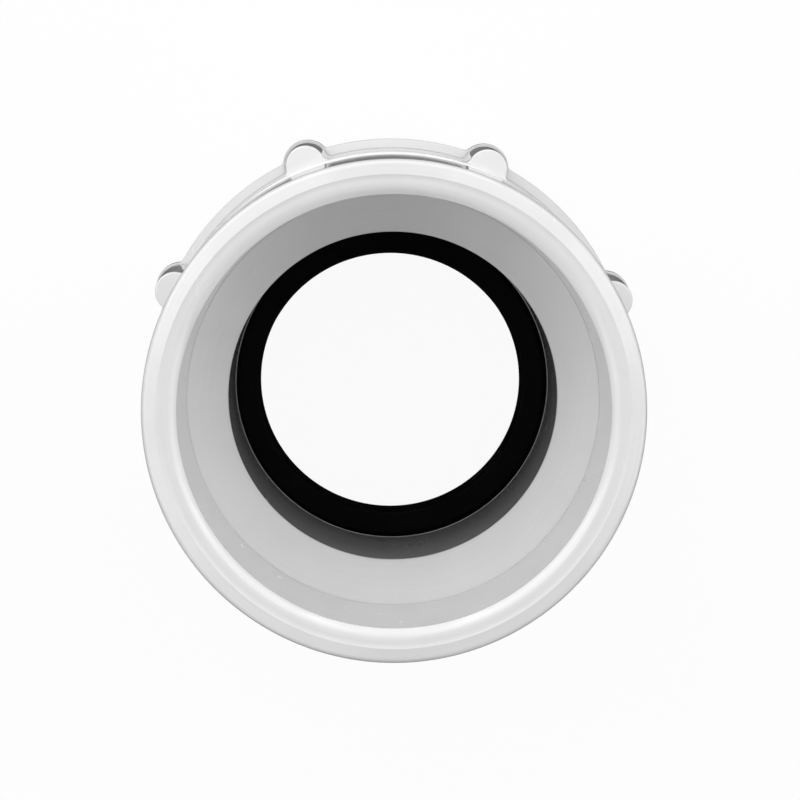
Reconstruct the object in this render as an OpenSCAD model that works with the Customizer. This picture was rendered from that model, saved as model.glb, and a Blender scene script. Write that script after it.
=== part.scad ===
// Drain pipe trap adapter: a socket hub for pipe, a threaded spigot for tube, a lobed slip nut and a
// reducing rubber washer. It stands on the end face of its nut with the mouth of the hub up.
// Lengths are in millimetres. Z runs along the waterway, from the end face of the nut to the mouth.

/* [Socket hub] */
// Bore of the pipe socket
socket_d = 48.4; // [46:0.1:52]
// Depth of the socket, from the mouth to its stop
socket_depth = 17.5; // [12:0.5:30]
// Wall of the hub at its mouth
hub_wall = 4; // [3.2:0.1:6]
// Growth of the hub's outer radius from the mouth to its back
hub_draft = 0.4; // [0:0.05:1]
// Width of the outer bevel of the rim, measured along the radius
rim_bevel_w = 1.7; // [0.8:0.1:2.2]
// Slope of the outer bevel of the rim, in degrees
rim_bevel_angle = 12; // [0:1:30]
// Angle that the rounded inner lip of the rim turns through, in degrees
lip_angle = 60; // [30:1:85]
// Radius of the rim's outer edge
rim_edge_r = 0.4; // [0.1:0.1:0.8]
// Length of the cone between the socket and the tube bore
stop_length = 5.2; // [3:0.1:10]
// Wall of the shoulder behind the hub, square to its cone
shoulder_wall = 3.9; // [2.5:0.1:6]
// Radius of the hub's rounded back
hub_back_r = 2.5; // [0.5:0.1:4]

/* [Threaded spigot] */
// Bore for the tube
tube_bore_d = 38.9; // [36:0.1:40]
// Length of the tube bore, from the stop cone to the washer's seat
tube_bore_length = 21.3; // [18:0.1:40]
// Outer diameter of the slip joint thread
thread_d = 48.1; // [47:0.1:52]
// Depth of the thread below its crest
thread_depth = 1.2; // [0.8:0.1:1.6]
// Length of the threaded stretch
thread_length = 18; // [14:0.5:19]
// Chamfer at the start of the thread
thread_chamfer = 0.9; // [0.3:0.1:1.5]
// Height of the chamfered washer seat in the end of the spigot
seat_chamfer = 1.15; // [0.6:0.05:2]

/* [Slip nut] */
// Height of the nut
nut_h = 15.5; // [13:0.1:18]
// Outer diameter of the nut's wall at its open face
nut_face_d = 57.7; // [55:0.1:60]
// Outer diameter of the nut's wall where it meets the flared foot
nut_wall_d = 58.4; // [55.5:0.1:61]
// Outer diameter of the nut's flared foot
nut_foot_d = 60.7; // [58:0.1:66]
// Height of the foot's straight edge
nut_foot_h = 1.8; // [1:0.1:3]
// Height of the flare from the foot to the wall
nut_flare_h = 1.5; // [0.5:0.1:3]
// Thickness of the inward flange that carries the washer
nut_flange_t = 2.2; // [1.5:0.1:4]
// Hole through the inward flange
nut_hole_d = 38.8; // [38:0.1:42]
// Chamfer at the mouth of the nut's thread
nut_mouth_chamfer = 1; // [0.3:0.1:1.5]
// Radius of the nut's outer edges
nut_edge_r = 0.4; // [0.1:0.1:0.6]

/* [Nut lobes] */
// Number of lobes round the nut
lobe_count = 8; // [4:1:10]
// Diameter of the circle that the lobes stand on
lobe_circle_d = 58.2; // [57:0.1:61]
// Diameter of a lobe at its upper end
lobe_top_d = 4.8; // [3:0.1:6]
// Diameter of a lobe at its foot
lobe_foot_d = 6.1; // [3.5:0.1:7]
// Distance that the lobes stop short of the open face
lobe_step = 0.8; // [0.2:0.1:3]
// Chamfer round the foot of a lobe
lobe_chamfer = 0.4; // [0.1:0.1:1]
// Turn of the lobes about the waterway, in degrees
lobe_turn = 21.3; // [0:0.1:45]

/* [Reducing washer] */
// Hole for the smaller tube
washer_hole_d = 32.3; // [26:0.1:36]
// Outer diameter of the washer
washer_d = 45.4; // [43:0.1:46]
// Thickness of the washer
washer_t = 6.1; // [5:0.1:8]
// Height of the washer's straight rim, below its cone
washer_rim_h = 2.2; // [1.6:0.1:3]
// Radius of the edges of the hole
washer_edge_r = 0.3; // [0.1:0.1:0.6]

/* [Clearances] */
// Gap between the threads of the spigot and the nut, on the radius
thread_gap = 0.15; // [0.05:0.05:0.4]
// Gap between the washer and the flange it rests on
flange_gap = 0.05; // [0.02:0.01:0.2]
// Gap between the washer's front face and the tube bore that it enters, on the radius
nose_gap = 0.65; // [0.3:0.05:1.2]
// Gap between the washer's cone and its seat, along the waterway
seat_gap = 0.1; // [0.05:0.05:0.3]
// Gap between the washer's rim and its pocket in the nut, on the radius
pocket_gap = 0.2; // [0.1:0.05:0.5]
// Gap between the end of the spigot and the step under the nut's thread
end_gap = 1; // [0.5:0.1:2]

/* [Hidden] */

// Sides of a full turn and of a lobe, and steps along one rounded corner
turn_fn = 96;
lobe_fn = 48;
corner_steps = 6;

// Heights, worked up from the end face of the nut
washer_low = nut_flange_t + flange_gap;
washer_top = washer_low + washer_t;
washer_face_d = tube_bore_d - 2 * nose_gap;
cone_slope = (washer_t - washer_rim_h) / ((washer_d - washer_face_d) / 2);
seat_top = washer_top - nose_gap * cone_slope + seat_gap;
spigot_end = seat_top - seat_chamfer;
stop_low = seat_top + tube_bore_length;
stop_top = stop_low + stop_length;
mouth = stop_top + socket_depth;
nut_step = spigot_end - end_gap;

// Radii
socket_r = socket_d / 2;
bore_r = tube_bore_d / 2;
rim_r = socket_r + hub_wall;
hub_back_outer_r = rim_r + hub_draft;
crest_r = rim_r - rim_bevel_w;
thread_r = thread_d / 2;
root_r = thread_r - thread_depth;
nut_thread_r = thread_r + thread_gap;
pocket_r = washer_d / 2 + pocket_gap;

// The rounded lip runs from the crest of the rim in to the socket wall
lip_r = (crest_r - socket_r) / sin(lip_angle);
lip_drop = lip_r * (1 - cos(lip_angle));
rim_edge_z = mouth - rim_bevel_w * tan(rim_bevel_angle);

// The shoulder's outer cone lies shoulder_wall outside the stop cone and parallel to it
stop_slope = atan2(stop_length, socket_r - bore_r);
shoulder_shift = shoulder_wall * [sin(stop_slope), -cos(stop_slope)];
shoulder_low = [bore_r, stop_low] + shoulder_shift;
function shoulder_z(r) = shoulder_low[1] + (r - shoulder_low[0]) * tan(stop_slope);
thread_top = spigot_end + thread_length;
thread_runout = thread_depth;

function unit(v) = v / norm(v);
function within_half_turn(a) = a > 180 ? a - 360 : a < -180 ? a + 360 : a;

// Points of the arc of radius r that replaces corner b of the outline a, b, c
function corner(a, b, c, r) =
    let (to_a = unit(a - b), to_c = unit(c - b),
         half = acos(to_a * to_c) / 2,
         centre = b + unit(to_a + to_c) * r / sin(half),
         from = b + to_a * r / tan(half) - centre,
         to = b + to_c * r / tan(half) - centre,
         start = atan2(from[1], from[0]),
         turn = within_half_turn(atan2(to[1], to[0]) - start))
    [for (i = [0:corner_steps]) centre + r * [cos(start + turn * i / corner_steps),
                                              sin(start + turn * i / corner_steps)]];

// An outline from points [x, y] or [x, y, radius of the corner there]
function xy(p) = [p[0], p[1]];
function rounded(points) =
    let (n = len(points))
    [for (i = [0:n - 1])
        let (p = points[i])
        each len(p) == 2 ? [p]
            : corner(xy(points[(i + n - 1) % n]), xy(p), xy(points[(i + 1) % n]), p[2])];

// Body: half section from the washer's seat up the bore to the mouth, and down the outside
function lip_arc() = [for (i = [0:corner_steps])
    let (a = 90 + lip_angle * (1 - i / corner_steps))
    [crest_r + lip_r * cos(a), mouth - lip_r + lip_r * sin(a)]];
function body_outline() = concat(
    [[bore_r + seat_chamfer / cone_slope, spigot_end], [bore_r, seat_top], [bore_r, stop_low],
     [socket_r, stop_top], [socket_r, mouth - lip_drop]],
    lip_arc(),
    [[rim_r, rim_edge_z, rim_edge_r],
     [hub_back_outer_r, shoulder_z(hub_back_outer_r), hub_back_r],
     [root_r, shoulder_z(root_r)],
     [root_r, thread_top + thread_runout], [thread_r, thread_top],
     [thread_r, spigot_end + thread_chamfer], [thread_r - thread_chamfer, spigot_end]]);

module adapter_body() {
    color("whitesmoke")
    rotate_extrude($fn = turn_fn) polygon(rounded(body_outline()));
}

// Nut: half section from the flange's hole, through the washer's pocket and the thread, to the flared foot
function nut_outline() = [
    [nut_hole_d / 2, 0], [nut_hole_d / 2, nut_flange_t], [pocket_r, nut_flange_t],
    [pocket_r, nut_step], [nut_thread_r, nut_step + abs(nut_thread_r - pocket_r)],
    [nut_thread_r, nut_h - nut_mouth_chamfer], [nut_thread_r + nut_mouth_chamfer, nut_h],
    [nut_face_d / 2, nut_h, nut_edge_r],
    [nut_wall_d / 2, nut_foot_h + nut_flare_h, nut_flare_h / 2],
    [nut_foot_d / 2, nut_foot_h, nut_edge_r],
    [nut_foot_d / 2, 0, nut_edge_r]];

// Lobe: a round post with a chamfered straight foot, which narrows from there to its upper end
function lobe_outline() = [
    [0, 0], [lobe_foot_d / 2 - lobe_chamfer, 0], [lobe_foot_d / 2, lobe_chamfer],
    [lobe_foot_d / 2, nut_foot_h], [lobe_top_d / 2, nut_h - lobe_step], [0, nut_h - lobe_step]];

module slip_nut() {
    color("white")
    union() {
        rotate_extrude($fn = turn_fn) polygon(rounded(nut_outline()));
        for (i = [0:lobe_count - 1])
            rotate(lobe_turn + i * 360 / lobe_count)
            translate([lobe_circle_d / 2, 0, 0])
            rotate_extrude($fn = lobe_fn) polygon(lobe_outline());
    }
}

// Washer: half section with the cone that seats in the end of the spigot
function washer_outline() = [
    [washer_hole_d / 2, washer_low, washer_edge_r], [washer_hole_d / 2, washer_top, washer_edge_r],
    [washer_face_d / 2, washer_top], [washer_d / 2, washer_low + washer_rim_h],
    [washer_d / 2, washer_low]];

module reducing_washer() {
    color("#1c1c1c")
    rotate_extrude($fn = turn_fn) polygon(rounded(washer_outline()));
}

adapter_body();
slip_nut();
reducing_washer();
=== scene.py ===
"""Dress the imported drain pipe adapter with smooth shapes, real screw threads and moulded plastic finishes.

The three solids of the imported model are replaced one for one: the body with its socket hub and threaded
spigot, the slip nut with its lobes, and the rubber reducing washer. Sizes are in millimetres and become
metres where a mesh is made. Z runs along the waterway, from the end face of the nut to the hub's mouth.
"""

import logging
import math
from dataclasses import dataclass, field
from enum import Enum

import bpy
from mathutils import Matrix, Vector


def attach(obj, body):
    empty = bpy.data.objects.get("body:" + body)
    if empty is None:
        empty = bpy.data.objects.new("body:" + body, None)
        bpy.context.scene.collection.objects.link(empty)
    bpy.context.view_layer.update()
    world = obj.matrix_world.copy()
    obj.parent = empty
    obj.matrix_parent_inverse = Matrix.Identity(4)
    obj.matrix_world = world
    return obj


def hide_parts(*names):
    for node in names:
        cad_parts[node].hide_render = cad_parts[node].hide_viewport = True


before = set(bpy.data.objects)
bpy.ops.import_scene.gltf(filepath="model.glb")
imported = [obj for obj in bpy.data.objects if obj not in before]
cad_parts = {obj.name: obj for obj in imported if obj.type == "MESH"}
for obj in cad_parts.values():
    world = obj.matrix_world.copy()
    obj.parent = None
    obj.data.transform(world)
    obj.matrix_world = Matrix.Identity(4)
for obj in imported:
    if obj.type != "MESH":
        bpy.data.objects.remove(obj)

log = logging.getLogger("pipe_adapter")

MM = 0.001
SIDES = 384
WELD = 0.000002

Point = tuple[float, float]
Colour = tuple[float, float, float]
Socket = bpy.types.NodeSocket


class Side(Enum):
    """The side of a wall that a thread is on: its ridges point away from the axis or towards it."""

    OUTSIDE = 1
    INSIDE = -1


# Outlines


def rounded(corners: list[tuple[float, ...]], closed: bool = False, step_deg: float = 11.0) -> list[Point]:
    """Turn corners into an outline with round corners.

    Args:
        corners: (r, z) points, or (r, z, radius) where the corner there is round.
        closed: Whether the last corner joins the first.
        step_deg: Largest turn of one step along a round corner.

    Returns:
        The points of the outline, each round corner held by a point just before and after it.
    """
    points: list[Point] = []
    count = len(corners)
    for i, corner in enumerate(corners):
        here = Vector(corner[:2])
        radius = corner[2] if len(corner) > 2 else 0.0
        if not radius or (not closed and i in (0, count - 1)):
            points.append((here.x, here.y))
            continue
        to_last = (Vector(corners[i - 1][:2]) - here).normalized()
        to_next = (Vector(corners[(i + 1) % count][:2]) - here).normalized()
        half = to_last.angle(to_next) / 2
        centre = here + (to_last + to_next).normalized() * radius / math.sin(half)
        reach = radius / math.tan(half)
        start, end = here + to_last * reach - centre, here + to_next * reach - centre
        turn = start.angle_signed(end)
        steps = max(2, math.ceil(abs(math.degrees(turn)) / step_deg))
        hold = min(0.2 * radius, 0.1)
        arc = [to_last * (reach + hold) + here]
        arc += [centre + Matrix.Rotation(-turn * k / steps, 2) @ start for k in range(steps + 1)]
        arc.append(to_next * (reach + hold) + here)
        points += [(p.x, p.y) for p in arc]
    return points


def arc_points(centre: Point, radius: float, start_deg: float, end_deg: float, steps: int) -> list[Point]:
    """List the points of an arc.

    Args:
        centre: Its centre.
        radius: Its radius.
        start_deg: Angle of its first point.
        end_deg: Angle of its last point.
        steps: Number of steps between them.

    Returns:
        The points, both ends included.
    """
    angles = [math.radians(start_deg + (end_deg - start_deg) * k / steps) for k in range(steps + 1)]
    return [(centre[0] + radius * math.cos(a), centre[1] + radius * math.sin(a)) for a in angles]


def subdivided(points: list[Point], longest: float) -> list[Point]:
    """Add points to an outline where its steps are long.

    Args:
        points: The outline.
        longest: Length of the longest step.

    Returns:
        The outline with the points added.
    """
    fine = points[:1]
    for start, end in zip(points, points[1:]):
        parts = max(1, math.ceil(math.dist(start, end) / longest))
        fine += [(start[0] + (end[0] - start[0]) * k / parts, start[1] + (end[1] - start[1]) * k / parts) for k in range(1, parts + 1)]
    return fine


# Node trees


class TreeWriter:
    """Writes the nodes of one tree and links them."""

    def __init__(self, tree: bpy.types.NodeTree) -> None:
        """Keep the tree that is written."""
        self.tree = tree

    def feed(self, socket: Socket, value: object) -> None:
        """Link a socket to an input, or set the input to a value.

        Args:
            socket: The input.
            value: The socket that feeds it, or its value.
        """
        if isinstance(value, bpy.types.NodeSocket):
            self.tree.links.new(value, socket)
        else:
            socket.default_value = value

    def add(self, kind: str, inputs: dict[str | int, object] | None = None, **settings: object) -> bpy.types.Node:
        """Add one node.

        Args:
            kind: The node's type.
            inputs: What feeds its inputs, by their name or number.
            settings: Its other settings, by name.

        Returns:
            The node.
        """
        node = self.tree.nodes.new(kind)
        for name, value in settings.items():
            setattr(node, name, value)
        for key, value in (inputs or {}).items():
            self.feed(node.inputs[key], value)
        return node

    def math(self, operation: str, *values: object, clamp: bool = False) -> Socket:
        """Add a Math node.

        Args:
            operation: What it does, such as MULTIPLY.
            values: Its inputs in order, as sockets or numbers.
            clamp: Whether its result is held between 0 and 1.

        Returns:
            Its result.
        """
        node = self.add("ShaderNodeMath", dict(enumerate(values)), operation=operation, use_clamp=clamp)
        return node.outputs[0]

    def ramp(self, value: object, low: object, high: object) -> Socket:
        """Turn a value into a share that rises smoothly from 0 at low to 1 at high.

        Args:
            value: The value.
            low: Where the share is 0.
            high: Where the share is 1.

        Returns:
            The share.
        """
        node = self.add("ShaderNodeMapRange", {0: value, 1: low, 2: high}, interpolation_type="SMOOTHSTEP")
        return node.outputs[0]

    def group(self, tree: bpy.types.NodeTree, kind: str, inputs: dict[str, object]) -> bpy.types.Node:
        """Place a node group.

        Args:
            tree: The group's tree.
            kind: The type of node that holds it.
            inputs: What feeds its inputs, by name.

        Returns:
            The node.
        """
        node = self.tree.nodes.new(kind)
        node.node_tree = tree
        for name, value in inputs.items():
            self.feed(node.inputs[name], value)
        return node


def new_tree(name: str, kind: str, inputs: dict[str, str], outputs: dict[str, str]) -> tuple[TreeWriter, bpy.types.Node, bpy.types.Node]:
    """Make a node tree with named sockets.

    Args:
        name: Its name.
        kind: GeometryNodeTree or ShaderNodeTree.
        inputs: Socket type of each input, by name.
        outputs: Socket type of each output, by name.

    Returns:
        Its writer, its input node and its output node.
    """
    tree = bpy.data.node_groups.new(name, kind)
    for label, socket in inputs.items():
        tree.interface.new_socket(label, in_out="INPUT", socket_type=socket)
    for label, socket in outputs.items():
        tree.interface.new_socket(label, in_out="OUTPUT", socket_type=socket)
    writer = TreeWriter(tree)
    return writer, writer.add("NodeGroupInput"), writer.add("NodeGroupOutput")


GEOMETRY = "NodeSocketGeometry"
NUMBER = "NodeSocketFloat"
WHOLE = "NodeSocketInt"
MATERIAL = "NodeSocketMaterial"


def lathe_tree() -> bpy.types.NodeTree:
    """Make the group that turns an outline round the waterway.

    The outline is a chain of points (r, 0, z). It runs counter-clockwise as seen with r to the right and z
    up, so that its faces point outwards.

    Returns:
        The group, with inputs Outline and Sides.
    """
    w, given, result = new_tree("Lathe", "GeometryNodeTree", {"Outline": GEOMETRY, "Sides": WHOLE}, {"Mesh": GEOMETRY})
    count = w.add("GeometryNodeAttributeDomainSize", {"Geometry": given.outputs["Outline"]}).outputs["Point Count"]
    columns = w.math("ADD", given.outputs["Sides"], 1)
    grid = w.add("GeometryNodeMeshGrid", {"Vertices X": columns, "Vertices Y": count})
    index = w.add("GeometryNodeInputIndex").outputs[0]
    column = w.math("FLOOR", w.math("DIVIDE", w.math("ADD", index, 0.5), count))
    row = w.math("SUBTRACT", index, w.math("MULTIPLY", column, count))
    place = w.add("GeometryNodeSampleIndex", {"Geometry": given.outputs["Outline"], "Index": row}, data_type="FLOAT_VECTOR")
    w.feed(place.inputs["Value"], w.add("GeometryNodeInputPosition").outputs[0])
    angle = w.math("DIVIDE", w.math("MULTIPLY", column, math.tau), given.outputs["Sides"])
    turned = w.add("ShaderNodeVectorRotate", {"Vector": place.outputs[0], "Angle": angle}, rotation_type="Z_AXIS")
    moved = w.add("GeometryNodeSetPosition", {"Geometry": grid.outputs["Mesh"], "Position": turned.outputs[0]})
    w.feed(result.inputs["Mesh"], moved.outputs[0])
    return w.tree


def thread_tree() -> bpy.types.NodeTree:
    """Make the group that cuts a right-hand screw thread.

    The rows of the mesh follow the helix, so the ridges have true edges. Rows past an end gather on it.
    Height is the ridge's height over the root radius, and is negative for ridges that point inwards.

    Returns:
        The group, with the thread's sizes as inputs.
    """
    sizes = ["Root Radius", "Height", "Low End", "High End", "First Ridge", "Pitch", "Crest", "Flank", "Low Fade", "High Fade"]
    inputs = {"Sides": WHOLE, "Turns": WHOLE, "Rows per Turn": WHOLE} | {size: NUMBER for size in sizes}
    w, given, result = new_tree("Screw Thread", "GeometryNodeTree", inputs, {"Mesh": GEOMETRY})
    size = given.outputs
    rows = w.math("ADD", w.math("MULTIPLY", size["Turns"], size["Rows per Turn"]), 1)
    grid = w.add("GeometryNodeMeshGrid", {"Vertices X": w.math("ADD", size["Sides"], 1), "Vertices Y": rows})
    index = w.add("GeometryNodeInputIndex").outputs[0]
    column = w.math("FLOOR", w.math("DIVIDE", w.math("ADD", index, 0.5), rows))
    row = w.math("SUBTRACT", index, w.math("MULTIPLY", column, rows))
    share = w.math("DIVIDE", column, size["Sides"])
    phase = w.math("DIVIDE", row, size["Rows per Turn"])
    climb = w.math("MULTIPLY", w.math("ADD", phase, share), size["Pitch"])
    free_z = w.math("ADD", size["First Ridge"], climb)
    z = w.math("MINIMUM", w.math("MAXIMUM", free_z, size["Low End"]), size["High End"])
    off_ridge = w.math("MULTIPLY", w.math("PINGPONG", phase, 0.5), size["Pitch"])
    over_flank = w.math("SUBTRACT", w.math("ADD", w.math("MULTIPLY", size["Crest"], 0.5), size["Flank"]), off_ridge)
    ridge = w.math("DIVIDE", over_flank, size["Flank"], clamp=True)
    low_fade = w.math("DIVIDE", w.math("SUBTRACT", z, size["Low End"]), size["Low Fade"], clamp=True)
    high_fade = w.math("DIVIDE", w.math("SUBTRACT", size["High End"], z), size["High Fade"], clamp=True)
    height = w.math("MULTIPLY", w.math("MINIMUM", ridge, w.math("MINIMUM", low_fade, high_fade)), size["Height"])
    radius = w.math("ADD", size["Root Radius"], height)
    flat = w.add("ShaderNodeCombineXYZ", {"X": radius, "Z": z})
    angle = w.math("MULTIPLY", share, math.tau)
    turned = w.add("ShaderNodeVectorRotate", {"Vector": flat.outputs[0], "Angle": angle}, rotation_type="Z_AXIS")
    moved = w.add("GeometryNodeSetPosition", {"Geometry": grid.outputs["Mesh"], "Position": turned.outputs[0]})
    inwards = w.math("LESS_THAN", size["Height"], 0.0)
    flipped = w.add("GeometryNodeFlipFaces", {"Mesh": moved.outputs[0], "Selection": inwards})
    w.feed(result.inputs["Mesh"], flipped.outputs[0])
    return w.tree


def soft_hole_tree() -> bpy.types.NodeTree:
    """Make the group that pushes the hole of a soft ring a little out of round and off its centre.

    The push is whole at the hole's edge and fades out by the outer radius.

    Returns:
        The group, with inputs Mesh, Hole Radius, Outer Radius, Oval and Shift.
    """
    inputs = {"Mesh": GEOMETRY, "Hole Radius": NUMBER, "Outer Radius": NUMBER, "Oval": NUMBER, "Shift": NUMBER}
    w, given, result = new_tree("Soft Hole", "GeometryNodeTree", inputs, {"Mesh": GEOMETRY})
    size = given.outputs
    axes = w.add("ShaderNodeSeparateXYZ", {"Vector": w.add("GeometryNodeInputPosition").outputs[0]}).outputs
    radius = w.math("SQRT", w.math("ADD", w.math("MULTIPLY", axes["X"], axes["X"]), w.math("MULTIPLY", axes["Y"], axes["Y"])))
    share = w.math("DIVIDE", w.math("SUBTRACT", size["Outer Radius"], radius), w.math("SUBTRACT", size["Outer Radius"], size["Hole Radius"]), clamp=True)
    wide = w.math("MULTIPLY_ADD", w.math("DIVIDE", axes["X"], radius), size["Oval"], size["Shift"])
    push = w.add("ShaderNodeCombineXYZ", {"X": w.math("MULTIPLY", wide, share)})
    moved = w.add("GeometryNodeSetPosition", {"Geometry": size["Mesh"], "Offset": push.outputs[0]})
    w.feed(result.inputs["Mesh"], moved.outputs[0])
    return w.tree


def ring_tree() -> bpy.types.NodeTree:
    """Make the group that repeats one sector of a piece round the waterway.

    Returns:
        The group, with inputs Sector and Count.
    """
    w, given, result = new_tree("Ring of Sectors", "GeometryNodeTree", {"Sector": GEOMETRY, "Count": WHOLE}, {"Mesh": GEOMETRY})
    points = w.add("GeometryNodePoints", {"Count": given.outputs["Count"]})
    index = w.add("GeometryNodeInputIndex").outputs[0]
    angle = w.math("DIVIDE", w.math("MULTIPLY", index, math.tau), given.outputs["Count"])
    turn = w.add("ShaderNodeCombineXYZ", {"Z": angle})
    copies = w.add(
        "GeometryNodeInstanceOnPoints",
        {"Points": points.outputs[0], "Instance": given.outputs["Sector"], "Rotation": turn.outputs[0]},
    )
    w.feed(result.inputs["Mesh"], w.add("GeometryNodeRealizeInstances", {"Geometry": copies.outputs[0]}).outputs[0])
    return w.tree


def finish_tree() -> bpy.types.NodeTree:
    """Make the group that ends each piece: it welds the parts, marks sharp edges and sets the material.

    Returns:
        The group, with inputs Mesh, Sharp Angle and Material.
    """
    inputs = {"Mesh": GEOMETRY, "Sharp Angle": NUMBER, "Material": MATERIAL}
    w, given, result = new_tree("Weld and Finish", "GeometryNodeTree", inputs, {"Mesh": GEOMETRY})
    whole = w.add("GeometryNodeRealizeInstances", {"Geometry": given.outputs["Mesh"]})
    welded = w.add("GeometryNodeMergeByDistance", {"Geometry": whole.outputs[0], "Distance": WELD})
    smooth = w.add("GeometryNodeSetShadeSmooth", {"Geometry": welded.outputs[0]}, domain="FACE")
    edge = w.add("GeometryNodeInputMeshEdgeAngle").outputs["Unsigned Angle"]
    sharp = w.math("GREATER_THAN", edge, given.outputs["Sharp Angle"])
    marked = w.add("GeometryNodeSetShadeSmooth", {"Geometry": smooth.outputs[0], "Selection": sharp, "Shade Smooth": False}, domain="EDGE")
    dressed = w.add("GeometryNodeSetMaterial", {"Geometry": marked.outputs[0], "Material": given.outputs["Material"]})
    w.feed(result.inputs["Mesh"], dressed.outputs[0])
    return w.tree


class Workshop:
    """Holds the shared node groups and turns outlines into finished pieces."""

    def __init__(self) -> None:
        """Build the shared groups once."""
        self.lathe = lathe_tree()
        self.thread = thread_tree()
        self.ring = ring_tree()
        self.soft_hole = soft_hole_tree()
        self.finish = finish_tree()

    @staticmethod
    def chain(name: str, outline: list[Point], closed: bool = False) -> bpy.types.Object:
        """Make an object that holds an outline as a chain of points.

        Args:
            name: The object's name.
            outline: (r, z) points in millimetres.
            closed: Whether the first point is repeated at the end.

        Returns:
            The object.
        """
        points = outline + outline[:1] if closed else outline
        mesh = bpy.data.meshes.new(name)
        links = [(i, i + 1) for i in range(len(points) - 1)]
        mesh.from_pydata([(r * MM, 0.0, z * MM) for r, z in points], links, [])
        made = bpy.data.objects.new(name, mesh)
        bpy.context.scene.collection.objects.link(made)
        return made

    @staticmethod
    def settle(piece: bpy.types.Object, tree: bpy.types.NodeTree, values: dict[str, object]) -> bpy.types.Object:
        """Run a tree on an object and keep the result as its plain mesh.

        Args:
            piece: The object, which holds what the tree starts from.
            tree: The tree.
            values: Its inputs, by name.

        Returns:
            The object.
        """
        modifier = piece.modifiers.new(tree.name, "NODES")
        modifier.node_group = tree
        sockets = {s.name: s.identifier for s in tree.interface.items_tree if s.in_out == "INPUT"}
        for name, value in values.items():
            modifier[sockets[name]] = value
        bpy.context.view_layer.update()
        evaluated = piece.evaluated_get(bpy.context.evaluated_depsgraph_get())
        mesh = bpy.data.meshes.new_from_object(evaluated)
        mesh.materials.clear()
        mesh.materials.append(values["Material"])
        mesh.polygons.foreach_set("material_index", [0] * len(mesh.polygons))
        piece.modifiers.remove(modifier)
        piece.data = mesh
        return piece


@dataclass(frozen=True)
class ScrewThread:
    """A right-hand screw thread of one piece, in millimetres."""

    side: Side
    root_r: float
    depth: float
    low: float
    high: float
    ridge_z: float
    crest: float
    low_fade: float
    high_fade: float
    pitch: float = 25.4 / 11.5
    flank: float = 25.4 / 11.5 * 4 / 14
    rows_per_turn: int = 14

    def inputs(self, sides: int) -> dict[str, object]:
        """Work out the inputs of the thread's group.

        Args:
            sides: Number of sides of a full turn.

        Returns:
            The inputs by name, with lengths in metres.
        """
        first = self.ridge_z - self.pitch * (1 + math.ceil((self.ridge_z - self.low) / self.pitch))
        return {
            "Sides": sides,
            "Turns": math.ceil((self.high - first) / self.pitch),
            "Rows per Turn": self.rows_per_turn,
            "Root Radius": self.root_r * MM,
            "Height": self.side.value * self.depth * MM,
            "Low End": self.low * MM,
            "High End": self.high * MM,
            "First Ridge": first * MM,
            "Pitch": self.pitch * MM,
            "Crest": self.crest * MM,
            "Flank": self.flank * MM,
            "Low Fade": self.low_fade * MM,
            "High Fade": self.high_fade * MM,
        }


# Finishes


def scuff_group() -> bpy.types.NodeTree:
    """Make the group of marks that handling leaves: fine hairline scratches and a few specks of dirt.

    Returns:
        The group, with outputs Scratches and Specks, both masks.
    """
    inputs = {"Place": "NodeSocketVector", "Amount": NUMBER, "Speck Size": NUMBER}
    w, given, result = new_tree("Handling Marks", "ShaderNodeTree", inputs, {"Scratches": NUMBER, "Specks": NUMBER})
    place = given.outputs["Place"]
    masks = []
    for turn, stretch in ((0.35, 38.0), (1.9, 27.0)):
        tilted = w.add("ShaderNodeMapping", {"Vector": place, "Rotation": (turn, turn * 0.7, turn * 1.3), "Scale": (900.0, stretch, 260.0)})
        streak = w.add("ShaderNodeTexNoise", {"Vector": tilted.outputs[0], "Scale": 1.0, "Detail": 1.0, "Roughness": 0.4})
        masks.append(w.ramp(streak.outputs["Fac"], 0.70, 0.76))
    patches = w.add("ShaderNodeTexNoise", {"Vector": place, "Scale": 95.0, "Detail": 2.0})
    worn = w.ramp(patches.outputs["Fac"], 0.5, 0.68)
    scratches = w.math("MULTIPLY", w.math("MULTIPLY", w.math("MAXIMUM", *masks), worn), given.outputs["Amount"])
    cells = w.add("ShaderNodeTexVoronoi", {"Vector": place, "Scale": 210.0, "Randomness": 1.0})
    near = w.ramp(cells.outputs["Distance"], given.outputs["Speck Size"], w.math("MULTIPLY", given.outputs["Speck Size"], 0.55))
    chosen = w.add("ShaderNodeSeparateColor", {"Color": cells.outputs["Color"]}).outputs["Red"]
    specks = w.math("MULTIPLY", near, w.math("GREATER_THAN", chosen, 0.975))
    w.feed(result.inputs["Scratches"], scratches)
    w.feed(result.inputs["Specks"], w.math("MULTIPLY", specks, given.outputs["Amount"]))
    return w.tree


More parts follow.
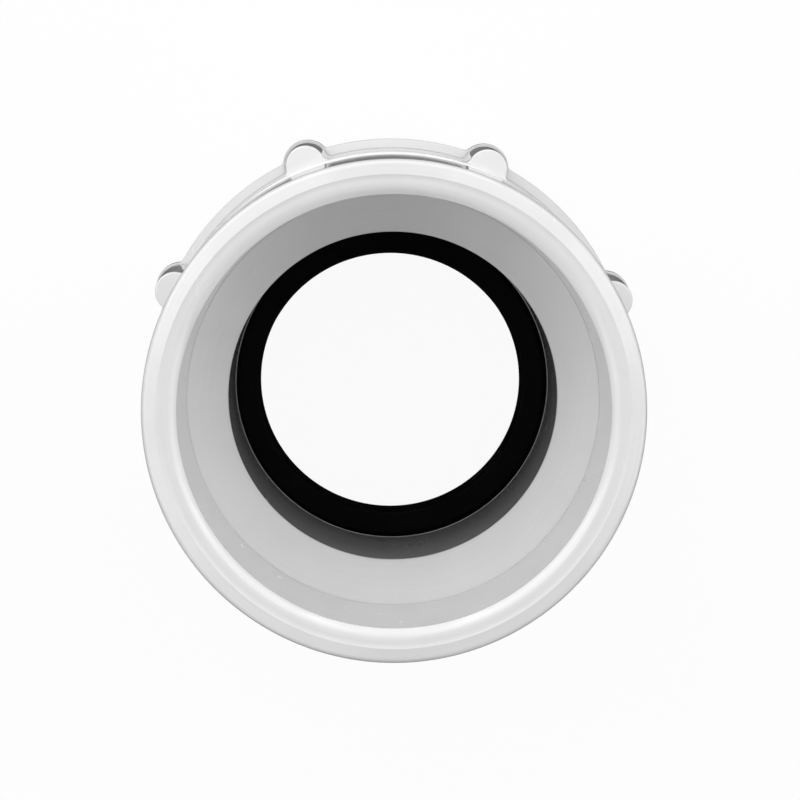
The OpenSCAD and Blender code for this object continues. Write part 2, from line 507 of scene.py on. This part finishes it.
def grain_group() -> bpy.types.NodeTree:
    """Make the group of a moulded surface: slow waves, flow cloud, turned rings and a fine satin grain.

    Returns:
        The group, with outputs Height in metres, and Cloud, Rings and Grain, all masks.
    """
    inputs = {"Place": "NodeSocketVector", "Grain Scale": NUMBER, "Grain Depth": NUMBER, "Wave Depth": NUMBER}
    outputs = {"Height": NUMBER, "Cloud": NUMBER, "Rings": NUMBER, "Grain": NUMBER}
    w, given, result = new_tree("Moulded Surface", "ShaderNodeTree", inputs, outputs)
    place = given.outputs["Place"]
    grain = w.add("ShaderNodeTexNoise", {"Vector": place, "Scale": given.outputs["Grain Scale"], "Detail": 3.0, "Roughness": 0.6})
    wave = w.add("ShaderNodeTexNoise", {"Vector": place, "Scale": 70.0, "Detail": 1.5, "Roughness": 0.4})
    flow = w.add("ShaderNodeMapping", {"Vector": place, "Scale": (1.0, 1.0, 0.35)})
    cloud = w.add("ShaderNodeTexNoise", {"Vector": flow.outputs[0], "Scale": 120.0, "Detail": 4.0, "Roughness": 0.55, "Distortion": 0.6})
    axes = w.add("ShaderNodeSeparateXYZ", {"Vector": place}).outputs
    radius = w.math("SQRT", w.math("ADD", w.math("MULTIPLY", axes["X"], axes["X"]), w.math("MULTIPLY", axes["Y"], axes["Y"])))
    around = w.math("DIVIDE", w.math("MULTIPLY_ADD", axes["Y"], 0.7, axes["X"]), radius)
    band = w.add(
        "ShaderNodeCombineXYZ",
        {"X": w.math("MULTIPLY", radius, 2600.0), "Y": w.math("MULTIPLY", around, 1.6), "Z": w.math("MULTIPLY", axes["Z"], 2600.0)},
    )
    rings = w.add("ShaderNodeTexNoise", {"Vector": band.outputs[0], "Scale": 1.0, "Detail": 1.0})
    fine = w.math("MULTIPLY", grain.outputs["Fac"], given.outputs["Grain Depth"])
    slow = w.math("MULTIPLY", wave.outputs["Fac"], given.outputs["Wave Depth"])
    w.feed(result.inputs["Height"], w.math("ADD", fine, slow))
    w.feed(result.inputs["Cloud"], w.ramp(cloud.outputs["Fac"], 0.3, 0.7))
    w.feed(result.inputs["Rings"], w.ramp(rings.outputs["Fac"], 0.3, 0.7))
    w.feed(result.inputs["Grain"], grain.outputs["Fac"])
    return w.tree


def painted_bore_shade_group() -> bpy.types.NodeTree:
    """Make the group that masks the wall of a bore by its radius and height, for shade painted into the colour there.

    Returns:
        The group, with output Inside, a mask of the painted shade that grows with depth.
    """
    inputs = {"Place": "NodeSocketVector", "Radius": NUMBER, "Top": NUMBER, "Deep": NUMBER}
    w, given, result = new_tree("Painted Bore Shade", "ShaderNodeTree", inputs, {"Inside": NUMBER})
    axes = w.add("ShaderNodeSeparateXYZ", {"Vector": given.outputs["Place"]}).outputs
    square = w.math("ADD", w.math("MULTIPLY", axes["X"], axes["X"]), w.math("MULTIPLY", axes["Y"], axes["Y"]))
    within = w.math("LESS_THAN", w.math("SQRT", square), given.outputs["Radius"])
    depth = w.ramp(axes["Z"], given.outputs["Top"], given.outputs["Deep"])
    w.feed(result.inputs["Inside"], w.math("MULTIPLY", within, depth))
    return w.tree


@dataclass(frozen=True)
class FinishGroups:
    """The shared shader groups."""

    marks: bpy.types.NodeTree = field(default_factory=scuff_group)
    surface: bpy.types.NodeTree = field(default_factory=grain_group)
    # The bore group masks where shade is painted into the body's colour, deep in the bore.
    bore: bpy.types.NodeTree = field(default_factory=painted_bore_shade_group)


@dataclass(frozen=True)
class MouldedPlastic:
    """A satin finish of white moulded plastic."""

    name: str
    colour: Colour
    cloud_colour: Colour
    speck_colour: Colour = (0.42, 0.42, 0.41)
    ring_colour: Colour = (0.72, 0.72, 0.72)
    ring_share: float = 0.15
    roughness: float = 0.24
    roughness_spread: float = 0.1
    skin_roughness: float = 0.05
    grain_scale: float = 5200.0
    grain_depth: float = 0.0000004
    wave_depth: float = 0.00002
    marks: float = 0.5
    # Painted shade: inside painted_shade_radius and below painted_shade_top, fully by painted_shade_deep, the bore
    # wall is blended towards painted_shade_colour, a grey that stands for the shade deep in the bore.
    painted_shade_radius: float = 0.0
    painted_shade_top: float = 0.0
    painted_shade_deep: float = 0.0
    painted_shade_colour: Colour = (0.6, 0.6, 0.6)

    def material(self, groups: FinishGroups) -> bpy.types.Material:
        """Make the material.

        Args:
            groups: The shared shader groups.

        Returns:
            The material.
        """
        made = bpy.data.materials.new(self.name)
        made.use_nodes = True
        w = TreeWriter(made.node_tree)
        shader = made.node_tree.nodes["Principled BSDF"]
        place = w.add("ShaderNodeTexCoord").outputs["Object"]
        # Mask of the deep bore wall, which gets painted shade in its colour; the fine grain is also faded out there.
        bore = w.group(
            groups.bore,
            "ShaderNodeGroup",
            {"Place": place, "Radius": self.painted_shade_radius * MM, "Top": self.painted_shade_top * MM, "Deep": self.painted_shade_deep * MM},
        )
        inside = bore.outputs["Inside"]
        grain_depth = w.math("MULTIPLY", w.math("SUBTRACT", 1.0, inside), self.grain_depth)
        surface = w.group(
            groups.surface,
            "ShaderNodeGroup",
            {"Place": place, "Grain Scale": self.grain_scale, "Grain Depth": grain_depth, "Wave Depth": self.wave_depth},
        )
        marks = w.group(groups.marks, "ShaderNodeGroup", {"Place": place, "Amount": self.marks, "Speck Size": 0.07})
        clouded = self.blend(w, surface.outputs["Cloud"], (*self.colour, 1.0), (*self.cloud_colour, 1.0))
        ringed = self.blend(w, w.math("MULTIPLY", surface.outputs["Rings"], self.ring_share), clouded, (*self.ring_colour, 1.0))
        speckled = self.blend(w, marks.outputs["Specks"], ringed, (*self.speck_colour, 1.0))
        # Painted shade: the deep bore wall is blended towards a darker grey.
        colour = self.blend(w, inside, speckled, (*self.painted_shade_colour, 1.0))
        rough = w.math("ADD", w.math("MULTIPLY", surface.outputs["Grain"], self.roughness_spread), self.roughness - self.roughness_spread / 2)
        rough = w.math("ADD", rough, w.math("MULTIPLY", marks.outputs["Scratches"], 0.15))
        height = w.math("SUBTRACT", surface.outputs["Height"], w.math("MULTIPLY", marks.outputs["Scratches"], 0.0000003))
        bump = w.add("ShaderNodeBump", {"Height": height, "Strength": 1.0, "Distance": 1.0})
        w.feed(shader.inputs["Base Color"], colour)
        w.feed(shader.inputs["Roughness"], rough)
        w.feed(shader.inputs["Normal"], bump.outputs[0])
        shader.inputs["Specular IOR Level"].default_value = 0.5
        shader.inputs["Coat Weight"].default_value = 1.0
        shader.inputs["Coat Roughness"].default_value = self.skin_roughness
        return made

    @staticmethod
    def blend(w: TreeWriter, share: Socket, first: object, second: object) -> Socket:
        """Blend two colours.

        Args:
            w: Writer of the material's tree.
            share: Share of the second colour.
            first: The first colour, as a socket or a value.
            second: The second colour, as a socket or a value.

        Returns:
            The blended colour.
        """
        node = w.add("ShaderNodeMix", data_type="RGBA")
        w.feed(node.inputs["Factor"], share)
        w.feed(node.inputs[6], first)
        w.feed(node.inputs[7], second)
        return node.outputs[2]


@dataclass(frozen=True)
class BlackRubber:
    """A smooth black rubber with a trace of bloom."""

    name: str = "Black Rubber"
    colour: Colour = (0.0015, 0.0015, 0.0015)
    bloom_colour: Colour = (0.003, 0.003, 0.003)
    roughness: float = 0.55
    grain_scale: float = 3800.0
    grain_depth: float = 0.00001

    def material(self, groups: FinishGroups) -> bpy.types.Material:
        """Make the material.

        Args:
            groups: The shared shader groups.

        Returns:
            The material.
        """
        made = bpy.data.materials.new(self.name)
        made.use_nodes = True
        w = TreeWriter(made.node_tree)
        shader = made.node_tree.nodes["Principled BSDF"]
        place = w.add("ShaderNodeTexCoord").outputs["Object"]
        surface = w.group(
            groups.surface,
            "ShaderNodeGroup",
            {"Place": place, "Grain Scale": self.grain_scale, "Grain Depth": self.grain_depth, "Wave Depth": 0.00002},
        )
        marks = w.group(groups.marks, "ShaderNodeGroup", {"Place": place, "Amount": 0.6, "Speck Size": 0.06})
        colour = MouldedPlastic.blend(w, surface.outputs["Cloud"], (*self.colour, 1.0), (*self.bloom_colour, 1.0))
        colour = MouldedPlastic.blend(w, marks.outputs["Specks"], colour, (0.03, 0.03, 0.03, 1.0))
        rough = w.math("ADD", w.math("MULTIPLY", surface.outputs["Grain"], 0.2), self.roughness - 0.1)
        bump = w.add("ShaderNodeBump", {"Height": surface.outputs["Height"], "Strength": 1.0, "Distance": 1.0})
        w.feed(shader.inputs["Base Color"], colour)
        w.feed(shader.inputs["Roughness"], rough)
        w.feed(shader.inputs["Normal"], bump.outputs[0])
        shader.inputs["Specular IOR Level"].default_value = 0.06
        return made


# Pieces


@dataclass
class AdapterBody:
    """The white body: socket hub, stop cone, tube bore and threaded spigot in one moulding."""

    socket_r: float = 24.3
    socket_stop_r: float = 24.06
    mouth_z: float = 51.8
    stop_top_z: float = 34.3
    stop_low_z: float = 29.1
    bore_r: float = 19.45
    seat_z: float = 8.05
    seat_lip: float = 0.05
    spigot_end_z: float = 6.65
    seat_outer_r: float = 20.6
    rim_r: float = 28.2
    rim_edge_z: float = 51.44
    rim_edge_r: float = 0.7
    crest_r: float = 26.5
    crest_foot_r: float = 25.9
    crest_slope_deg: float = 21.0
    lip_flat_r: float = 25.7
    lip_round_r: float = 1.8
    hub_back_outer_r: float = 28.6
    hub_back_z: float = 33.3
    hub_back_round: float = 2.5
    neck_r: float = 22.85
    shoulder_z: float = 27.04
    thread_r: float = 24.05
    thread_top_z: float = 25.85

    def outline(self) -> list[Point]:
        """Work out the half section, from the top of the thread up round the hub and down the waterway.

        Returns:
            The (r, z) points, counter-clockwise, with both ends on the root of the thread.
        """
        hollow_r = (self.crest_r - self.crest_foot_r) / math.sin(math.radians(self.crest_slope_deg))
        flat_z = self.mouth_z - hollow_r * (1 - math.cos(math.radians(self.crest_slope_deg)))
        hollow = arc_points((self.crest_foot_r, flat_z + hollow_r), hollow_r, self.crest_slope_deg - 90, -90, 6)
        lip_turn = math.asin((self.lip_flat_r - self.socket_r) / self.lip_round_r)
        lip = arc_points((self.lip_flat_r, flat_z - self.lip_round_r), self.lip_round_r, 90, 90 + math.degrees(lip_turn), 12)
        outside = rounded(
            [
                (self.neck_r, self.thread_top_z),
                (self.neck_r, self.shoulder_z, 0.5),
                (self.hub_back_outer_r, self.hub_back_z, self.hub_back_round),
                (self.rim_r, self.rim_edge_z, self.rim_edge_r),
                (self.crest_r, self.mouth_z, 0.12),
                hollow[1],
            ]
        )
        inside = rounded(
            [
                lip[-1],
                (self.socket_stop_r, self.stop_top_z, 0.25),
                (self.bore_r, self.stop_low_z, 0.35),
                (self.bore_r, self.seat_z + self.seat_lip, 0.02),
                (self.bore_r - self.seat_lip, self.seat_z),
                (self.seat_outer_r, self.spigot_end_z),
                (self.neck_r, self.spigot_end_z),
            ]
        )
        return outside + hollow[2:] + lip[:-1] + inside

    def thread(self) -> ScrewThread:
        """Describe the thread of the spigot."""
        return ScrewThread(
            side=Side.OUTSIDE,
            root_r=self.neck_r,
            depth=self.thread_r - self.neck_r,
            low=self.spigot_end_z,
            high=self.thread_top_z,
            ridge_z=self.spigot_end_z + 1.2,
            crest=25.4 / 11.5 * 3 / 14,
            low_fade=1.0,
            high_fade=1.3,
        )

    def build(self, shop: Workshop, finish: bpy.types.Material) -> bpy.types.Object:
        """Make the body.

        Args:
            shop: The workshop.
            finish: Its material.

        Returns:
            The piece, riding on the adapter body.
        """
        w, given, result = new_tree("Adapter Body", "GeometryNodeTree", {"Outline": GEOMETRY, "Sides": WHOLE, "Material": MATERIAL}, {"Mesh": GEOMETRY})
        shell = w.group(shop.lathe, "GeometryNodeGroup", {"Outline": given.outputs["Outline"], "Sides": given.outputs["Sides"]})
        thread = w.group(shop.thread, "GeometryNodeGroup", self.thread().inputs(SIDES) | {"Sides": given.outputs["Sides"]})
        both = w.add("GeometryNodeJoinGeometry")
        w.feed(both.inputs[0], shell.outputs[0])
        w.feed(both.inputs[0], thread.outputs[0])
        done = w.group(shop.finish, "GeometryNodeGroup", {"Mesh": both.outputs[0], "Sharp Angle": math.radians(28), "Material": given.outputs["Material"]})
        w.feed(result.inputs["Mesh"], done.outputs[0])
        piece = shop.settle(shop.chain("hub_and_spigot", self.outline()), w.tree, {"Sides": SIDES, "Material": finish})
        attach(piece, "adapter")
        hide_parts("adapter_body")
        return piece


@dataclass
class SlipNut:
    """The white slip nut with eight round lobes, a flared foot and an inward flange."""

    lobes: int = 8
    lobe_turn_deg: float = 21.3
    lobe_circle_r: float = 29.1
    lobe_top_r: float = 2.4
    lobe_low_r: float = 2.86
    lobe_foot_r: float = 3.08
    lobe_flare_from: float = 0.72
    lobe_top_z: float = 14.7
    lobe_edge_r: float = 0.22
    fillet_r: float = 0.8
    foot_fillet_r: float = 0.6
    height: float = 15.5
    face_r: float = 28.85
    wall_r: float = 29.2
    foot_r: float = 30.35
    foot_h: float = 1.8
    flare_h: float = 1.5
    edge_r: float = 0.4
    hole_r: float = 19.4
    flange_t: float = 2.2
    pocket_r: float = 22.9
    step_z: float = 5.65
    thread_r: float = 24.2
    thread_low_z: float = 6.95
    thread_high_z: float = 14.5
    thread_minor_r: float = 23.05
    mouth_chamfer: float = 1.0
    flat_r: float = 26.4
    arc_steps: tuple[int, int, int] = (12, 5, 7)

    def sector_steps(self) -> int:
        """Count the steps round one sector."""
        return 2 * sum(self.arc_steps)

    def ring(self, wall_r: float, lobe_r: float, fillet_r: float) -> list[Point]:
        """Work out one level of the outer wall over one sector, with the lobe on the x axis.

        Args:
            wall_r: Radius of the wall.
            lobe_r: Radius of the lobe.
            fillet_r: Radius of the hollow where the lobe meets the wall.

        Returns:
            The (x, y) points from one edge of the sector to the other.
        """
        centre, reach = self.lobe_circle_r, wall_r + fillet_r
        cos_hollow = (centre**2 + reach**2 - (lobe_r + fillet_r) ** 2) / (2 * centre * reach)
        hollow = math.acos(cos_hollow)
        hx, hy = reach * math.cos(hollow), reach * math.sin(hollow)
        side = math.atan2(hy, hx - centre)
        on_lobe, on_hollow, on_wall = self.arc_steps
        half = arc_points((centre, 0.0), lobe_r, 0, math.degrees(side), on_lobe)
        half += arc_points((hx, hy), fillet_r, math.degrees(side) + 180, math.degrees(hollow) + 180, on_hollow)[1:]
        half += arc_points((0.0, 0.0), wall_r, math.degrees(hollow), 180 / self.lobes, on_wall)[1:]
        return [(x, -y) for x, y in reversed(half[1:])] + half

    def circle(self, radius: float, like: list[Point] | None = None) -> list[Point]:
        """Work out a plain circle over one sector.

        Args:
            radius: Its radius.
            like: A level whose directions its points take, or None for even steps.

        Returns:
            The (x, y) points.
        """
        if like is None:
            return arc_points((0.0, 0.0), radius, -180 / self.lobes, 180 / self.lobes, self.sector_steps())
        return [(x * radius / math.hypot(x, y), y * radius / math.hypot(x, y)) for x, y in like]

    def wall_at(self, z: float) -> float:
        """Find the radius of the plain wall at a height."""
        low = self.foot_h + self.flare_h
        return self.wall_r + (self.face_r - self.wall_r) * (z - low) / (self.height - low)

    def flared_ring(self, wall_r: float, z: float) -> list[Point]:
        """Work out one level above the foot's edge, where lobe and hollow widen in the low part of the wall's flare.

        Args:
            wall_r: Radius of the wall, flare included.
            z: Height of the level.

        Returns:
            The (x, y) points of the level.
        """
        up = (z - self.foot_h) / (self.lobe_top_z - self.foot_h)
        post_r = self.lobe_low_r + (self.lobe_top_r - self.lobe_low_r) * up
        wall_flare = (wall_r - self.wall_at(z)) / (self.foot_r - self.wall_r)
        flare = max(0.0, (wall_flare - self.lobe_flare_from) / (1 - self.lobe_flare_from))
        lobe_r = post_r + (self.lobe_foot_r - self.lobe_low_r) * flare
        return self.ring(wall_r, lobe_r, self.fillet_r + (self.foot_fillet_r - self.fillet_r) * flare)

    def levels(self) -> list[tuple[float, list[Point]]]:
        """List the levels of one sector, counter-clockwise round its section.

        Returns:
            Pairs of a height and the (x, y) points there, from the low end of the thread round to its high end.
        """
        inner = rounded(
            [
                (self.thread_r, self.thread_low_z),
                (self.pocket_r, self.step_z, 0.2),
                (self.pocket_r, self.flange_t, 0.3),
                (self.hole_r, self.flange_t, 0.25),
                (self.hole_r, 0.0, 0.25),
                (self.flat_r, 0.0),
            ]
        )
        rows = [(z, self.circle(r)) for r, z in inner]
        for k in range(7):
            turn = math.radians(90 * k / 6)
            cut, z = self.edge_r * (1 - math.sin(turn)), self.edge_r * (1 - math.cos(turn))
            rows.append((z, self.ring(self.foot_r - cut, self.lobe_foot_r - cut, self.foot_fillet_r + cut)))
        flare = rounded(
            [
                (self.foot_r, self.edge_r + 0.1),
                (self.foot_r, self.foot_h, self.edge_r),
                (self.wall_r, self.foot_h + self.flare_h, self.flare_h / 2),
                (self.wall_at(8.0), 8.0),
            ]
        )
        flare = subdivided(flare[:-1], 0.15) + flare[-1:]
        for r, z in flare + [(self.wall_at(z), z) for z in (11.0, 13.0, 14.2)]:
            rows.append((z, self.flared_ring(r, z)))
        top_wall = self.wall_at(self.lobe_top_z)
        for k in range(6):
            turn = math.radians(90 * k / 5)
            cut, drop = self.lobe_edge_r * (1 - math.cos(turn)), self.lobe_edge_r * (1 - math.sin(turn))
            rows.append((self.lobe_top_z - drop, self.ring(top_wall, self.lobe_top_r - cut, self.fillet_r + cut)))
        disc = rows[-1][1]
        rows.append((self.lobe_top_z, self.circle(top_wall, disc)))
        face = rounded(
            [
                (top_wall, self.lobe_top_z + 0.05),
                (self.face_r, self.height, self.edge_r),
                (self.flat_r, self.height),
            ]
        )
        rows += [(z, self.circle(r, disc)) for r, z in face[:-1]]
        mouth = rounded(
            [
                (self.flat_r, self.height),
                (self.thread_r + self.mouth_chamfer, self.height, 0.2),
                (self.thread_r, self.thread_high_z),
            ]
        )
        return rows + [(z, self.circle(r)) for r, z in mouth]

    def sector(self) -> bpy.types.Object:
        """Make one sector of the nut, all but its thread.

        Returns:
            The object that holds it.
        """
        rows = self.levels()
        turn = math.radians(self.lobe_turn_deg)
        spots, faces = [], []
        columns = self.sector_steps() + 1
        for z, points in rows:
            for x, y in points:
                spots.append(((x * math.cos(turn) - y * math.sin(turn)) * MM, (x * math.sin(turn) + y * math.cos(turn)) * MM, z * MM))
        for i in range(len(rows) - 1):
            for j in range(columns - 1):
                a = i * columns + j
                faces.append((a, a + 1, a + columns + 1, a + columns))
        mesh = bpy.data.meshes.new("slip_nut_shell")
        mesh.from_pydata(spots, [], faces)
        made = bpy.data.objects.new("slip_nut_shell", mesh)
        bpy.context.scene.collection.objects.link(made)
        return made

    def thread(self, spigot: ScrewThread) -> ScrewThread:
        """Describe the thread of the nut, with its ridges in the grooves of the spigot's thread.

        Args:
            spigot: The spigot's thread.

        Returns:
            The nut's thread.
        """
        turned = self.first_column_deg() / 360 * spigot.pitch
        return ScrewThread(
            side=Side.INSIDE,
            root_r=self.thread_r,
            depth=self.thread_r - self.thread_minor_r,
            low=self.thread_low_z,
            high=self.thread_high_z,
            ridge_z=spigot.ridge_z + spigot.pitch / 2 + turned,
            crest=spigot.pitch * 2 / 14,
            low_fade=0.8,
            high_fade=1.0,
        )

    def first_column_deg(self) -> float:
        """Find the angle of the first column of the first sector."""
        return self.lobe_turn_deg - 180 / self.lobes

    def build(self, shop: Workshop, finish: bpy.types.Material, spigot: ScrewThread) -> bpy.types.Object:
        """Make the nut.

        Args:
            shop: The workshop.
            finish: Its material.
            spigot: The thread that it runs on.

        Returns:
            The piece, riding on the nut body.
        """
        inputs = {"Sector": GEOMETRY, "Count": WHOLE, "Thread Turn": NUMBER, "Material": MATERIAL}
        w, given, result = new_tree("Slip Nut", "GeometryNodeTree", inputs, {"Mesh": GEOMETRY})
        wall = w.group(shop.ring, "GeometryNodeGroup", {"Sector": given.outputs["Sector"], "Count": given.outputs["Count"]})
        sides = self.lobes * self.sector_steps()
        thread = w.group(shop.thread, "GeometryNodeGroup", self.thread(spigot).inputs(sides))
        turn = w.add("ShaderNodeCombineXYZ", {"Z": given.outputs["Thread Turn"]})
        turned = w.add("GeometryNodeTransform", {"Geometry": thread.outputs[0], "Rotation": turn.outputs[0]})
        both = w.add("GeometryNodeJoinGeometry")
        w.feed(both.inputs[0], wall.outputs[0])
        w.feed(both.inputs[0], turned.outputs[0])
        done = w.group(shop.finish, "GeometryNodeGroup", {"Mesh": both.outputs[0], "Sharp Angle": math.radians(28), "Material": given.outputs["Material"]})
        w.feed(result.inputs["Mesh"], done.outputs[0])
        values = {"Count": self.lobes, "Thread Turn": math.radians(self.first_column_deg()), "Material": finish}
        piece = shop.settle(self.sector(), w.tree, values)
        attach(piece, "nut")
        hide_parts("slip_nut")
        return piece


@dataclass
class ReducingWasher:
    """The black rubber washer with the cone that seats in the end of the spigot."""

    hole_r: float = 16.15
    outer_r: float = 22.7
    face_r: float = 18.8
    low_z: float = 2.25
    top_z: float = 8.35
    rim_z: float = 4.45
    oval: float = 0.17
    shift: float = -0.17

    def outline(self) -> list[Point]:
        """Work out the half section, counter-clockwise."""
        return rounded(
            [
                (self.hole_r, self.low_z, 0.3),
                (self.outer_r, self.low_z, 0.3),
                (self.outer_r, self.rim_z, 0.25),
                (self.face_r, self.top_z, 0.25),
                (self.hole_r, self.top_z, 0.35),
            ],
            closed=True,
        )

    def build(self, shop: Workshop, finish: bpy.types.Material) -> bpy.types.Object:
        """Make the washer.

        Args:
            shop: The workshop.
            finish: Its material.

        Returns:
            The piece, riding on the washer body.
        """
        w, given, result = new_tree("Reducing Washer", "GeometryNodeTree", {"Outline": GEOMETRY, "Sides": WHOLE, "Material": MATERIAL}, {"Mesh": GEOMETRY})
        shell = w.group(shop.lathe, "GeometryNodeGroup", {"Outline": given.outputs["Outline"], "Sides": given.outputs["Sides"]})
        push = {"Hole Radius": self.hole_r * MM, "Outer Radius": self.outer_r * MM, "Oval": self.oval * MM, "Shift": self.shift * MM}
        soft = w.group(shop.soft_hole, "GeometryNodeGroup", {"Mesh": shell.outputs[0]} | push)
        done = w.group(shop.finish, "GeometryNodeGroup", {"Mesh": soft.outputs[0], "Sharp Angle": math.radians(28), "Material": given.outputs["Material"]})
        w.feed(result.inputs["Mesh"], done.outputs[0])
        piece = shop.settle(shop.chain("rubber_washer", self.outline(), closed=True), w.tree, {"Sides": SIDES, "Material": finish})
        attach(piece, "washer")
        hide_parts("reducing_washer")
        return piece


# Studio


@dataclass(frozen=True)
class Softbox:
    """One square soft lamp that points at the object."""

    name: str
    polar_deg: float
    round_deg: float
    watts: float
    width: float = 0.5
    distance: float = 0.6

    def hang(self, target: Vector) -> None:
        """Make the lamp.

        Args:
            target: The point that it looks at.
        """
        polar, turn = math.radians(self.polar_deg), math.radians(self.round_deg)
        away = Vector((math.sin(polar) * math.cos(turn), math.sin(polar) * math.sin(turn), math.cos(polar)))
        lamp = bpy.data.lights.new(self.name, "AREA")
        lamp.shape, lamp.size, lamp.energy = "SQUARE", self.width, self.watts
        holder = bpy.data.objects.new(self.name, lamp)
        holder.location = target + away * self.distance
        holder.rotation_euler = (-away).to_track_quat("-Z", "Y").to_euler()
        holder.visible_camera = False
        bpy.context.scene.collection.objects.link(holder)


@dataclass
class Studio:
    """A pale floor, soft lamps and the photograph's camera."""

    mouth: Vector = field(default_factory=lambda: Vector((0.0, 0.0, 0.0518)))
    towards_camera: Vector = field(default_factory=lambda: Vector((-0.00917, 0.08385, 0.99644)))
    mouth_in_picture: Vector = field(default_factory=lambda: Vector((-0.000635, -0.001456)))
    distance: float = 0.3508
    focal_pixels: float = 3156.0
    picture_pixels: float = 800.0
    floor_half: float = 4.0
    floor_colour: Colour = (0.1, 0.1, 0.1)
    contact_reach: float = 0.001
    world_light: float = 0.15
    lamp_target: Vector = field(default_factory=lambda: Vector((0.0, 0.0, 0.035)))
    lamps: tuple[Softbox, ...] = (
        Softbox("upper_box", 45, 90, 0.13),
        Softbox("low_upper_box", 65, 90, 0.85),
        Softbox("upper_left_box", 45, 135, 1.00),
        Softbox("low_upper_left_box", 72, 135, 0.76),
        Softbox("upper_right_box", 45, 45, 0.87),
        Softbox("low_upper_right_box", 72, 45, 0.25),
        Softbox("left_box", 45, 180, 0.45),
        Softbox("low_left_box", 65, 180, 0.31),
        Softbox("right_box", 45, 0, 0.43),
        Softbox("low_right_box", 65, 0, 0.72),
        Softbox("lower_left_box", 50, -135, 0.38),
        Softbox("lower_right_box", 50, -45, 0.10),
        Softbox("low_lower_left_box", 86, -125, 0.42),
        Softbox("low_lower_right_box", 86, -55, 0.42),
    )

    def camera(self) -> None:
        """Place the camera as the photograph was taken."""
        back = self.towards_camera.normalized()
        right = Vector((0.0, 1.0, 0.0)).cross(back).normalized()
        up = back.cross(right)
        place = self.mouth - right * self.mouth_in_picture.x - up * self.mouth_in_picture.y + back * self.distance
        data = bpy.data.cameras.new("photo_camera")
        data.sensor_width = 36.0
        data.lens = self.focal_pixels / self.picture_pixels * data.sensor_width
        data.clip_start, data.clip_end = 0.01, 50.0
        holder = bpy.data.objects.new("photo_camera", data)
        holder.matrix_world = Matrix.Translation(place) @ Matrix((right, up, back)).transposed().to_4x4()
        bpy.context.scene.collection.objects.link(holder)
        bpy.context.scene.camera = holder

    def floor(self) -> None:
        """Lay the pale floor, which the camera sees as white with the object's soft shadow.

        The camera sees through it from below. Its contact with the nut lets the room's light through, so that
        the nut's end face isn't black from below.
        """
        half = self.floor_half
        mesh = bpy.data.meshes.new("floor")
        mesh.from_pydata([(-half, -half, -0.00005), (half, -half, -0.00005), (half, half, -0.00005), (-half, half, -0.00005)], [], [(0, 1, 2, 3)])
        made = bpy.data.objects.new("floor", mesh)
        bpy.context.scene.collection.objects.link(made)
        finish = bpy.data.materials.new("Pale Floor")
        finish.use_nodes = True
        w = TreeWriter(finish.node_tree)
        matt = finish.node_tree.nodes["Principled BSDF"]
        light_path = w.add("ShaderNodeLightPath").outputs
        camera_ray = light_path["Is Camera Ray"]
        tint = MouldedPlastic.blend(w, camera_ray, (*self.floor_colour, 1.0), (0.9, 0.9, 0.9, 1.0))
        w.feed(matt.inputs["Base Color"], tint)
        matt.inputs["Roughness"].default_value = 1.0
        matt.inputs["Specular IOR Level"].default_value = 0.0
        glow = w.add("ShaderNodeEmission", {"Color": (1.0, 1.0, 1.0, 1.0), "Strength": 1.0})
        seen = w.math("MULTIPLY", camera_ray, 0.94)
        mixed = w.add("ShaderNodeMixShader", {0: seen, 1: matt.outputs[0], 2: glow.outputs[0]})
        below = w.add("ShaderNodeNewGeometry").outputs["Backfacing"]
        short = w.math("LESS_THAN", light_path["Ray Length"], self.contact_reach)
        touching = w.math("MULTIPLY", short, light_path["Is Diffuse Ray"])
        see_through = w.math("MAXIMUM", below, touching)
        clear = w.add("ShaderNodeBsdfTransparent")
        sided = w.add("ShaderNodeMixShader", {0: see_through, 1: mixed.outputs[0], 2: clear.outputs[0]})
        w.feed(finish.node_tree.nodes["Material Output"].inputs["Surface"], sided.outputs[0])
        mesh.materials.append(finish)

    def world(self) -> None:
        """Fill the room with soft grey light, and show it white to the camera."""
        room = bpy.data.worlds.new("studio_room")
        room.use_nodes = True
        w = TreeWriter(room.node_tree)
        back = room.node_tree.nodes["Background"]
        back.inputs["Color"].default_value = (1.0, 1.0, 1.0, 1.0)
        seen = w.add("ShaderNodeLightPath").outputs["Is Camera Ray"]
        strength = w.math("MULTIPLY_ADD", seen, 1.0 - self.world_light, self.world_light)
        w.feed(back.inputs["Strength"], strength)
        bpy.context.scene.world = room

    def build(self) -> None:
        """Set up the whole studio."""
        bpy.context.scene.view_settings.view_transform = "Standard"
        self.world()
        self.floor()
        for lamp in self.lamps:
            lamp.hang(self.lamp_target)
        self.camera()


def report(piece: bpy.types.Object) -> None:
    """Log what a piece is made of.

    Args:
        piece: The piece.
    """
    triangles = sum(len(face.vertices) - 2 for face in piece.data.polygons)
    log.info("%s: %d vertices, %d triangles", piece.name, len(piece.data.vertices), triangles)


def main() -> None:
    """Build the pieces and the studio, and log how many vertices and triangles each piece has."""
    logging.basicConfig(level=logging.INFO, format="%(name)s: %(message)s")
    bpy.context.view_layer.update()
    shop, groups = Workshop(), FinishGroups()
    # The body's bore wall below the stop cone gets painted shade: its colour is darkened to a grey.
    body_plastic = MouldedPlastic("White Body Plastic", (0.83, 0.83, 0.83), (0.805, 0.805, 0.805), painted_shade_radius=19.6, painted_shade_top=29.4, painted_shade_deep=28.4)
    nut_plastic = MouldedPlastic("White Nut Plastic", (0.93, 0.93, 0.93), (0.915, 0.915, 0.915), ring_colour=(0.86, 0.86, 0.86))
    body = AdapterBody()
    pieces = [
        body.build(shop, body_plastic.material(groups)),
        SlipNut().build(shop, nut_plastic.material(groups), body.thread()),
        ReducingWasher().build(shop, BlackRubber().material(groups)),
    ]
    for piece in pieces:
        report(piece)
    Studio().build()


if __name__ == "__main__":
    main()
